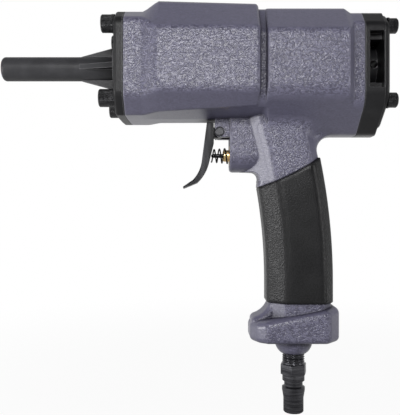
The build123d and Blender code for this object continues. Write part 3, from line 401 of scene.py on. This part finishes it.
dress(["piston", "cylinder_head"],
      plain_metal("turned_aluminium", (176, 176, 180), (206, 206, 210), metallic=0.95, rough=(0.28, 0.42)))
dress(["inlet_filter"],
      plain_metal("sintered_bronze", (120, 92, 52), (160, 126, 78), metallic=0.7, rough=(0.5, 0.7),
                  scale=1500))
dress(["exhaust_disc"], soft_rubber("disc_plastic", (196, 190, 172), (214, 208, 190)))
dress(["liner_o_rings", "piston_seals", "valve_bush_o_rings", "poppet_seal", "front_bumper", "rear_bumper",
       "nose_gasket", "rear_gasket"], soft_rubber("seal_rubber", (34, 34, 35), (46, 46, 47)))


# Mesh tools
def new_mesh(name, work):
    """Mesh from a bmesh, with its faces turned outward."""
    bmesh.ops.recalc_face_normals(work, faces=work.faces)
    mesh = bpy.data.meshes.new(name)
    work.to_mesh(mesh)
    work.free()
    return mesh


def new_piece(name, mesh, material, body):
    """Smooth piece that moves with a body."""
    piece = bpy.data.objects.new(name, mesh)
    piece.data.materials.append(material)
    scene.collection.objects.link(piece)
    for polygon in mesh.polygons:
        polygon.use_smooth = True
    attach(piece, body)
    return piece


def join_rings(work, rings):
    """Faces between each ring of points and the next."""
    around = len(rings[0])
    for first, second in zip(rings, rings[1:]):
        for part in range(around):
            following = (part + 1) % around
            work.faces.new((first[part], first[following], second[following], second[part]))


# Springs: round wire in place of the drawn one
wire_steel = plain_metal("spring_wire", (14, 14, 15), (26, 26, 28), metallic=0.6, rough=(0.3, 0.45),
                         scale=900)


def coil(name, wire, turns, ends, radii, axis_z, around=14, per_turn=40):
    """Mesh of a round wire wound about a line along X, from one end and radius to the other."""
    x_from, x_to = ends
    radius_from, radius_to = radii
    count = round(turns * per_turn)
    pitch = (x_to - x_from) / (2 * math.pi * turns)
    work = bmesh.new()
    rings = []
    for step in range(count + 1):
        share = step / count
        angle = 2 * math.pi * turns * share
        radius = radius_from + (radius_to - radius_from) * share
        out = Vector((0, math.sin(angle), -math.cos(angle)))
        along = Vector((0, math.cos(angle), math.sin(angle)))
        side = (Vector((radius, 0, 0)) - along * pitch).normalized()
        centre = Vector((x_from + (x_to - x_from) * share, 0, axis_z)) + out * radius
        ring = []
        for part in range(around):
            turn = 2 * math.pi * part / around
            ring.append(work.verts.new(centre + (out * math.cos(turn) + side * math.sin(turn)) * wire / 2))
        rings.append(ring)
    join_rings(work, rings)
    work.faces.new(rings[0][::-1])
    work.faces.new(rings[-1])
    return new_mesh(name, work)


def wound_spring(name, wire, turns, ends, radii, axis_z):
    """Wire that takes the place of a spring, riding on the housing."""
    mesh = coil(name + "_wire", wire, turns, ends, radii, axis_z)
    spring = new_piece(name + "_wire", mesh, wire_steel, "housing")
    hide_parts(name)
    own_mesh(spring)


wound_spring("trigger_spring", wire=0.00084, turns=3.25, ends=(0.12274, 0.13275),
             radii=(0.0036, 0.0045), axis_z=valve_z)
wound_spring("valve_spring", wire=0.0007, turns=6, ends=(0.15278, 0.17832),
             radii=(0.0031, 0.0031), axis_z=valve_z)
wound_spring("piston_return_spring", wire=0.0022, turns=7, ends=(0.09093, 0.17787),
             radii=(0.013, 0.013), axis_z=0.0)

# Air plug with its tapered thread
thread_top = plug_high.z
thread_end = -0.1730
thread_radius = 0.00658
thread_taper = 0.02
thread_pitch = 0.001337
thread_depth = 0.00078
hex_top = -0.1733
hex_end = -0.1792
hex_turn = math.radians(15)
hex_apothem = 0.0070
hex_corner = hex_apothem / math.cos(math.pi / 6)
hex_chamfer = 0.0003
hex_chamfer_radius = 0.0076
neck_radius = 0.0065
bore_radius = 0.00375
# Height and radius of each corner below the hexagon, down to the mouth and back up the bore
tail = [(hex_end, neck_radius), (-0.1830, neck_radius), (-0.1836, 0.0054), (-0.1862, 0.0054),
        (-0.1869, 0.0067), (-0.1886, 0.0067), (-0.1931, 0.0059), (-0.2011, 0.0059),
        (plug_low.z, 0.0053), (plug_low.z, bore_radius), (thread_top, bore_radius)]


def thread_reach(z, angle):
    """Radius of the helical thread, which fades out at its lower end."""
    taper = thread_radius - (z - thread_end) * thread_taper
    fade = min(1.0, (z - thread_end) / thread_pitch)
    phase = (z / thread_pitch + angle / (2 * math.pi)) % 1.0
    return taper - thread_depth * (0.5 + 0.5 * math.cos(2 * math.pi * phase)) * fade


def hex_reach(limit, angle):
    """Radius of the hexagon, its corners turned down to the limit."""
    return min(hex_apothem / math.cos((angle - hex_turn) % (math.pi / 3) - math.pi / 6), limit)


def plug_mesh(name, around=72, thread_rows=130):
    """Helical thread, hexagon with turned corners and the plug's tail, as one closed skin of rings."""
    work = bmesh.new()
    angles = [2 * math.pi * part / around for part in range(around)]
    profile = []
    for row in range(thread_rows + 1):
        z = thread_top + (thread_end - thread_top) * row / thread_rows
        profile.append((z, [thread_reach(z, angle) for angle in angles]))
    for z, limit in ((hex_top, hex_chamfer_radius), (hex_top - hex_chamfer, hex_corner),
                     (hex_end + hex_chamfer, hex_corner), (hex_end, hex_chamfer_radius)):
        profile.append((z, [hex_reach(limit, angle) for angle in angles]))
    for z, radius in tail:
        profile.append((z, [radius] * around))
    rings = []
    for z, radii in profile:
        rings.append([work.verts.new((plug_x + radius * math.cos(angle), radius * math.sin(angle), z))
                      for radius, angle in zip(radii, angles)])
    join_rings(work, [*rings, rings[0]])
    return new_mesh(name, work)


plug_steel = plain_metal("plug_steel", (66, 66, 70), (100, 100, 104), metallic=0.8, rough=(0.2, 0.28),
                         scale=1600, stretch=(0.05, 0.05, 1))
plug = new_piece("air_plug_turned", plug_mesh("air_plug_turned"), plug_steel, "housing")
plug.modifiers.new("edges", "EDGE_SPLIT").split_angle = math.radians(28)
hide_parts("air_plug")

# Casting: the valve boss drawn in and round below, the second block's keel with a soft start, a flush toe

# Boss: half-width above the valve's axis, front rounding, depth of its round part, power of that curve
boss_half = 0.0100
boss_corner = 0.0010
boss_drop = 0.0098
boss_power = 1.8
# Least half-width of the boss, reached between two places along X as it runs into the handle
flare_from = 0.1410
flare_to = 0.1480
flare_half = 0.0070
# Front cheek: a point where it lies furthest back, run along X for each metre of width, radius of its arc
cheek_x = 0.16167
cheek_y = 0.0125
cheek_z = -0.125
cheek_run = 1.36
cheek_radius = 0.326
# Flat side of the handle, and how softly the cheek runs into it
handle_half = 0.0154
handle_round = 0.0020
# Bevel of the keel: half-width at a height, widening for each metre up, and where it starts and is full
keel_y = 0.01339
keel_z = -0.0340
keel_run = 1.274
keel_from = 0.1505
keel_full = 0.1542
# Underside of the main block: half-width at a height, and widening for each metre up
under_y = 0.0235
under_z = -0.0260
under_run = 3.36
# Front of the handle under the boss: X at a height, lean, half-width of its flat, rounding of its edges
toe_x = 0.15033
toe_z = -0.0670
toe_lean = 0.18
toe_flat = 0.0053
toe_round = 0.0053
# Filler on that front: limits, how far it comes out at toe_z, how much less for each metre up, and its fade
toe_low = -0.0697
toe_high = -0.0653
toe_half = 0.0098
toe_back = 0.1535
toe_lift = 0.00063
toe_lift_run = 0.272
toe_fade_from = 0.0075
toe_fade_to = 0.0105
# Rise of the sleeve's top edge for each metre that the handle's front falls back
sleeve_rise = 0.42
# Reach of the cutters to the side, their heights, and where the lip cutters take over from the roof cutters
carve_side = 0.0130
carve_low = -0.0668
carve_keel = -0.0373
carve_roof = -0.0295
carve_top = -0.02595
lip_x = 0.1447
# How far the carved surface stays outside the cheek and the keel, and the least thickness of a cutter
clear = 0.00004
thinnest = 0.0001
# How far the cutters start before the boss, keep off the underside, pass the keel and pass the cheek's start
front_gap = 0.0003
roof_gap = 0.0005
keel_gap = 0.0003
cheek_gap = 0.0007
# How far the roof and lip cutters reach down into the low ones, and their places along X
roof_overlap = 0.00015
lip_overlap = 0.00012
roof_end = lip_x - 0.0001
lip_start = lip_x - 0.00015
lip_bend = lip_x + 0.0002
lip_end = keel_full - 0.0003


def smooth(value, low, high):
    share = min(1.0, max(0.0, (value - low) / (high - low)))
    return share * share * (3 - 2 * share)


def steps(*stops):
    """Even steps from stop to stop, given as start, count, stop, count, stop and so on."""
    values = [stops[0]]
    for count, end in zip(stops[1::2], stops[2::2]):
        start = values[-1]
        values += [start + (end - start) * (step + 1) / count for step in range(count)]
    return values


def cheek_start(z):
    """Where the cheek reaches cheek_y, on the handle's long forward arc."""
    return cheek_x - cheek_radius + math.sqrt(cheek_radius ** 2 - (z - cheek_z) ** 2)


def handle_side(x, z):
    """Half-width of the handle: its cheek, rounded into its flat side."""
    cheek = cheek_y + (x - cheek_start(z)) / cheek_run
    share = min(1.0, max(0.0, 0.5 + (handle_half - cheek) / (2 * handle_round)))
    return handle_half + (cheek - handle_half) * share - handle_round * share * (1 - share) + clear


def boss_side(x, z):
    """Half-width of the boss: flat above the valve's axis, round below it, wider toward the handle."""
    depth = min(1.0, max(0.0, (valve_z - z) / boss_drop))
    round_half = boss_half * (1 - depth ** boss_power) ** (1 / boss_power)
    half = max(round_half, flare_half * smooth(x, flare_from, flare_to))
    short = max(0.0, min(boss_corner, boss_corner - (x - boss_x)))
    return half - boss_corner + math.sqrt(boss_corner ** 2 - short ** 2)


def crease(z, halvings=40):
    """Where the boss runs into the cheek."""
    low, high = boss_x, cheek_start(z)
    for halving in range(halvings):
        middle = (low + high) / 2
        low, high = (low, middle) if handle_side(middle, z) > boss_side(middle, z) else (middle, high)
    return high


def keel_side(z):
    """Half-width of the second block's lower bevel."""
    return keel_y + (z - keel_z) * keel_run


def under_side(z):
    """Half-width of the main block's underside."""
    return under_y + (z - under_z) * under_run


def body_side(x, z):
    """Half-width where the keel grows out of the main block's underside."""
    share = smooth(x, keel_from, keel_full)
    return under_side(z) + (keel_side(z) + clear - under_side(z)) * share


def low_side(x, z):
    return max(boss_side(x, z), handle_side(x, z))


def roof_side(x, z):
    return max(boss_side(x, z), under_side(z) + roof_gap)


def lip_side(x, z):
    return max(low_side(x, z), body_side(x, z))


def front_columns(*stops):
    """Steps along X from just before the boss, closer over its rounded corner."""
    return steps(boss_x - front_gap, 6, boss_x + boss_corner, *stops)


def low_columns(z):
    return front_columns(40, crease(z), 14, cheek_start(z) + cheek_gap)


def roof_columns(z):
    return front_columns(30, roof_end)


def lip_columns(z):
    return steps(lip_start, 12, max(crease(z), lip_bend), 30, lip_end)


def slab(name, near_rows, far_rows):
    """Closed solid between two grids of points of the same size."""
    work = bmesh.new()
    near = [[work.verts.new(point) for point in row] for row in near_rows]
    far = [[work.verts.new(point) for point in row] for row in far_rows]
    top, last = len(near) - 1, len(near[0]) - 1
    for row in range(top):
        for grid in (near, far):
            for part in range(last):
                work.faces.new((grid[row][part], grid[row][part + 1],
                                grid[row + 1][part + 1], grid[row + 1][part]))
        for part in (0, last):
            work.faces.new((near[row][part], near[row + 1][part], far[row + 1][part], far[row][part]))
    for row in (0, top):
        for part in range(last):
            work.faces.new((near[row][part], near[row][part + 1], far[row][part + 1], far[row][part]))
    return bpy.data.objects.new(name, new_mesh(name, work))


def cutter(name, side, z_rows, columns_at, half_at, outer_at):
    """Solid from the carved surface out to a surface beyond the old one."""
    near_rows, far_rows = [], []
    for z in z_rows:
        row = [(x, half_at(x, z)) for x in columns_at(z)]
        near_rows.append([(x, side * half, z) for x, half in row])
        far_rows.append([(x, side * max(outer_at(z), half + thinnest), z) for x, half in row])
    return slab(name, near_rows, far_rows)


def toe_corner(y):
    """How far the handle's rounded front falls back at this distance from the mid plane."""
    return toe_round - math.sqrt(toe_round ** 2 - max(0.0, abs(y) - toe_flat) ** 2)


def toe_front(y, z):
    """Front of the handle under the boss, brought out to the sleeve."""
    front = toe_x - (z - toe_z) * toe_lean + toe_corner(y)
    lift = toe_lift - (z - toe_z) * toe_lift_run
    return front - lift * (1 - smooth(abs(y), toe_fade_from, toe_fade_to))


def toe_fairing():
    """Filler between the boss and the sleeve, its lower edge along the top of the sleeve."""
    near_rows, far_rows = [], []
    for share in steps(0.0, 16, 1.0):
        row = []
        for y in steps(-toe_half, 40, toe_half):
            low = toe_low + sleeve_rise * toe_corner(y)
            row.append((y, low + (toe_high - low) * share))
        near_rows.append([(toe_front(y, z), y, z) for y, z in row])
        far_rows.append([(toe_back, y, z) for y, z in row])
    return slab("toe_fairing", near_rows, far_rows)


def carved(name, source, cutters, fillers, weld=1e-6):
    """Mesh of the source less the cutters and with the fillers."""
    work = bmesh.new()
    work.from_mesh(source)
    bmesh.ops.remove_doubles(work, verts=work.verts, dist=weld)
    mesh = bpy.data.meshes.new(name)
    work.to_mesh(mesh)
    work.free()
    blank = bpy.data.objects.new(name, mesh)
    scene.collection.objects.link(blank)
    for operation, tools in (("DIFFERENCE", cutters), ("UNION", fillers)):
        for tool in tools:
            scene.collection.objects.link(tool)
            step = blank.modifiers.new(tool.name, "BOOLEAN")
            step.operation = operation
            step.solver = "EXACT"
            step.object = tool
    result = bpy.data.meshes.new_from_object(blank.evaluated_get(bpy.context.evaluated_depsgraph_get()))
    work = bmesh.new()
    work.from_mesh(result)
    bmesh.ops.holes_fill(work, edges=[edge for edge in work.edges if edge.is_boundary])
    work.to_mesh(result)
    work.free()
    for spent in [blank, *cutters, *fillers]:
        bpy.data.objects.remove(spent)
    return result


def corner_shares(point, corners):
    """Shares of three corners at a point of their triangle."""
    first, second, third = corners
    whole = (second - first).cross(third - first)
    at_second = (point - first).cross(third - first).dot(whole) / whole.length_squared
    at_third = (second - first).cross(point - first).dot(whole) / whole.length_squared
    return 1 - at_second - at_third, at_second, at_third


def keep_normals(mesh, source, on_skin=3e-6, same_way=0.99, crease_angle=math.radians(30)):
    """Normals of the source where a face lies on its skin, and smooth new ones on the carved faces."""
    same_surface = math.cos(crease_angle)
    source.calc_loop_triangles()
    points = [vertex.co.copy() for vertex in source.vertices]
    triangles = [tuple(triangle.vertices) for triangle in source.loop_triangles]
    skin = BVHTree.FromPolygons(points, triangles)
    source_normals = [corner.vector.copy() for corner in source.corner_normals]
    old_face = []
    faces_at = [[] for vertex in mesh.vertices]
    for face in mesh.polygons:
        normal, triangle, gap = skin.find_nearest(face.center)[1:]
        old_face.append(triangle if gap < on_skin and normal.dot(face.normal) > same_way else None)
        for vertex in face.vertices:
            faces_at[vertex].append(face)
    normals = []
    for face in mesh.polygons:
        triangle = old_face[face.index]
        for vertex in face.vertices:
            if triangle is None:
                new_faces = [other for other in faces_at[vertex] if old_face[other.index] is None]
                beside = [other for other in new_faces if other.normal.dot(face.normal) > same_surface]
                normal = sum((other.normal * other.area for other in beside), Vector())
            else:
                corners = [points[corner] for corner in triangles[triangle]]
                shares = corner_shares(mesh.vertices[vertex].co, corners)
                loops = source.loop_triangles[triangle].loops
                normal = sum((source_normals[loop] * share for loop, share in zip(loops, shares)), Vector())
            normals.append(normal.normalized())
    for face in mesh.polygons:
        face.use_smooth = True
    mesh.normals_split_custom_set(normals)


cutters = []
for side, word in ((-1, "near"), (1, "far")):
    cutters.append(cutter("low_" + word, side, steps(carve_low, 76, carve_keel),
                          low_columns, low_side, lambda z: carve_side))
    cutters.append(cutter("roof_" + word, side, steps(carve_keel - roof_overlap, 22, carve_roof),
                          roof_columns, roof_side, lambda z: carve_side))
    cutters.append(cutter("lip_" + word, side, steps(carve_keel - lip_overlap, 34, carve_top),
                          lip_columns, lip_side, lambda z: max(carve_side, keel_side(z) + keel_gap)))
housing_mesh = nodes["housing"].data
casting_mesh = carved("housing_casting", housing_mesh, cutters, [toe_fairing()])
keep_normals(casting_mesh, housing_mesh)
casting = new_piece("housing_casting", casting_mesh, hammertone_paint(), "housing")
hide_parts("housing")

# Floor: white to the camera, and lit in reflections in front of, beside and behind the plug
floor_half = 3.0
floor_gap = 0.0004
floor_z = cad_box[0][2] - floor_gap
shade_y = 0.05


def floor_material():
    """Grey that glows to the camera and, away from the plug, in reflections."""
    ground = Nodes("floor")
    ground.set(color=(0.38, 0.38, 0.38), roughness=0.9)
    glow = ground.add("ShaderNodeEmission")
    glow.inputs["Color"].default_value = (1, 1, 1, 1)
    glow.inputs["Strength"].default_value = 1.0
    ray = ground.add("ShaderNodeLightPath").outputs
    place = ground.axes()
    spread = ground.distance(ground.place(), (plug_x, shade_y, floor_z))
    seen = ground.math("MULTIPLY", ray["Is Camera Ray"], ground.span(spread, 0.1, 0.45, 0.95, 1.0))
    forward = ground.math("SUBTRACT", plug_x, place["X"])
    in_front = ground.span(forward, 0.04, 0.2, 0.0, 0.8)
    behind = ground.span(place["Y"], 0.02, 0.15, 0.0, 0.8)
    apart = ground.math("ABSOLUTE", forward)
    beside = ground.math("MULTIPLY", ground.span(apart, 0.01, 0.03, 0.0, 0.3),
                         ground.span(apart, 0.16, 0.24, 1.0, 0.0))
    lit = ground.math("MAXIMUM", ground.math("MAXIMUM", behind, in_front), beside)
    mirrored = ground.math("MULTIPLY", ray["Is Glossy Ray"], lit)
    blend = ground.add("ShaderNodeMixShader")
    ground.link(ground.math("MAXIMUM", seen, mirrored), blend.inputs[0])
    ground.link(ground.shader.outputs[0], blend.inputs[1])
    ground.link(glow.outputs[0], blend.inputs[2])
    ground.link(blend.outputs[0], ground.output.inputs[0])
    return ground.material


floor_mesh = bpy.data.meshes.new("floor")
floor_corners = [(-floor_half, -floor_half, floor_z), (floor_half, -floor_half, floor_z),
                 (floor_half, floor_half, floor_z), (-floor_half, floor_half, floor_z)]
floor_mesh.from_pydata(floor_corners, [], [(0, 1, 2, 3)])
floor = bpy.data.objects.new("floor", floor_mesh)
scene.collection.objects.link(floor)
floor.data.materials.append(floor_material())


# Room and lights
def pale_room():
    """World brighter behind the tool than in front of it, and white where the camera looks past the tool."""
    world = bpy.data.worlds.new("world")
    world.use_nodes = True
    tree = world.node_tree
    background = tree.nodes["Background"]
    background.inputs["Color"].default_value = (1, 1, 1, 1)
    direction = tree.nodes.new("ShaderNodeSeparateXYZ")
    tree.links.new(tree.nodes.new("ShaderNodeTexCoord").outputs["Generated"], direction.inputs[0])
    room = tree.nodes.new("ShaderNodeMapRange")
    room.interpolation_type = "SMOOTHSTEP"
    for key, number in (("From Min", -0.25), ("From Max", 0.6), ("To Min", 0.05), ("To Max", 0.55)):
        room.inputs[key].default_value = number
    tree.links.new(direction.outputs["Y"], room.inputs["Value"])
    path = tree.nodes.new("ShaderNodeLightPath")
    seen = tree.nodes.new("ShaderNodeMath")
    seen.operation = "MAXIMUM"
    tree.links.new(path.outputs["Is Camera Ray"], seen.inputs[0])
    tree.links.new(path.outputs["Is Transmission Ray"], seen.inputs[1])
    level = tree.nodes.new("ShaderNodeMix")
    tree.links.new(seen.outputs[0], level.inputs[0])
    tree.links.new(room.outputs["Result"], level.inputs[2])
    level.inputs[3].default_value = 1.0
    tree.links.new(level.outputs[0], background.inputs["Strength"])
    return world


def softbox(name, place, aim, width, height, power):
    light = bpy.data.lights.new(name, "AREA")
    light.shape = "RECTANGLE"
    light.size = width
    light.size_y = height
    light.energy = power
    lamp = bpy.data.objects.new(name, light)
    lamp.location = place
    lamp.rotation_euler = (Vector(aim) - Vector(place)).to_track_quat("-Z", "Y").to_euler()
    scene.collection.objects.link(lamp)


scene.world = pale_room()
body_middle = (0.12, 0.0, -0.05)
neck_middle = (0.15, 0.0, -0.07)
softbox("left_box", (-0.906, -0.33, -0.06), body_middle, width=0.9, height=0.4, power=4.8)
softbox("right_box", (1.117, -0.465, -0.03), body_middle, width=0.45, height=0.7, power=3.0)
softbox("front_box", (0.085, -0.8, 0.25), body_middle, width=0.31, height=0.22, power=3.75)
softbox("cheek_strip", (-0.86, -0.44, -0.09), neck_middle, width=0.16, height=0.22, power=2.0)
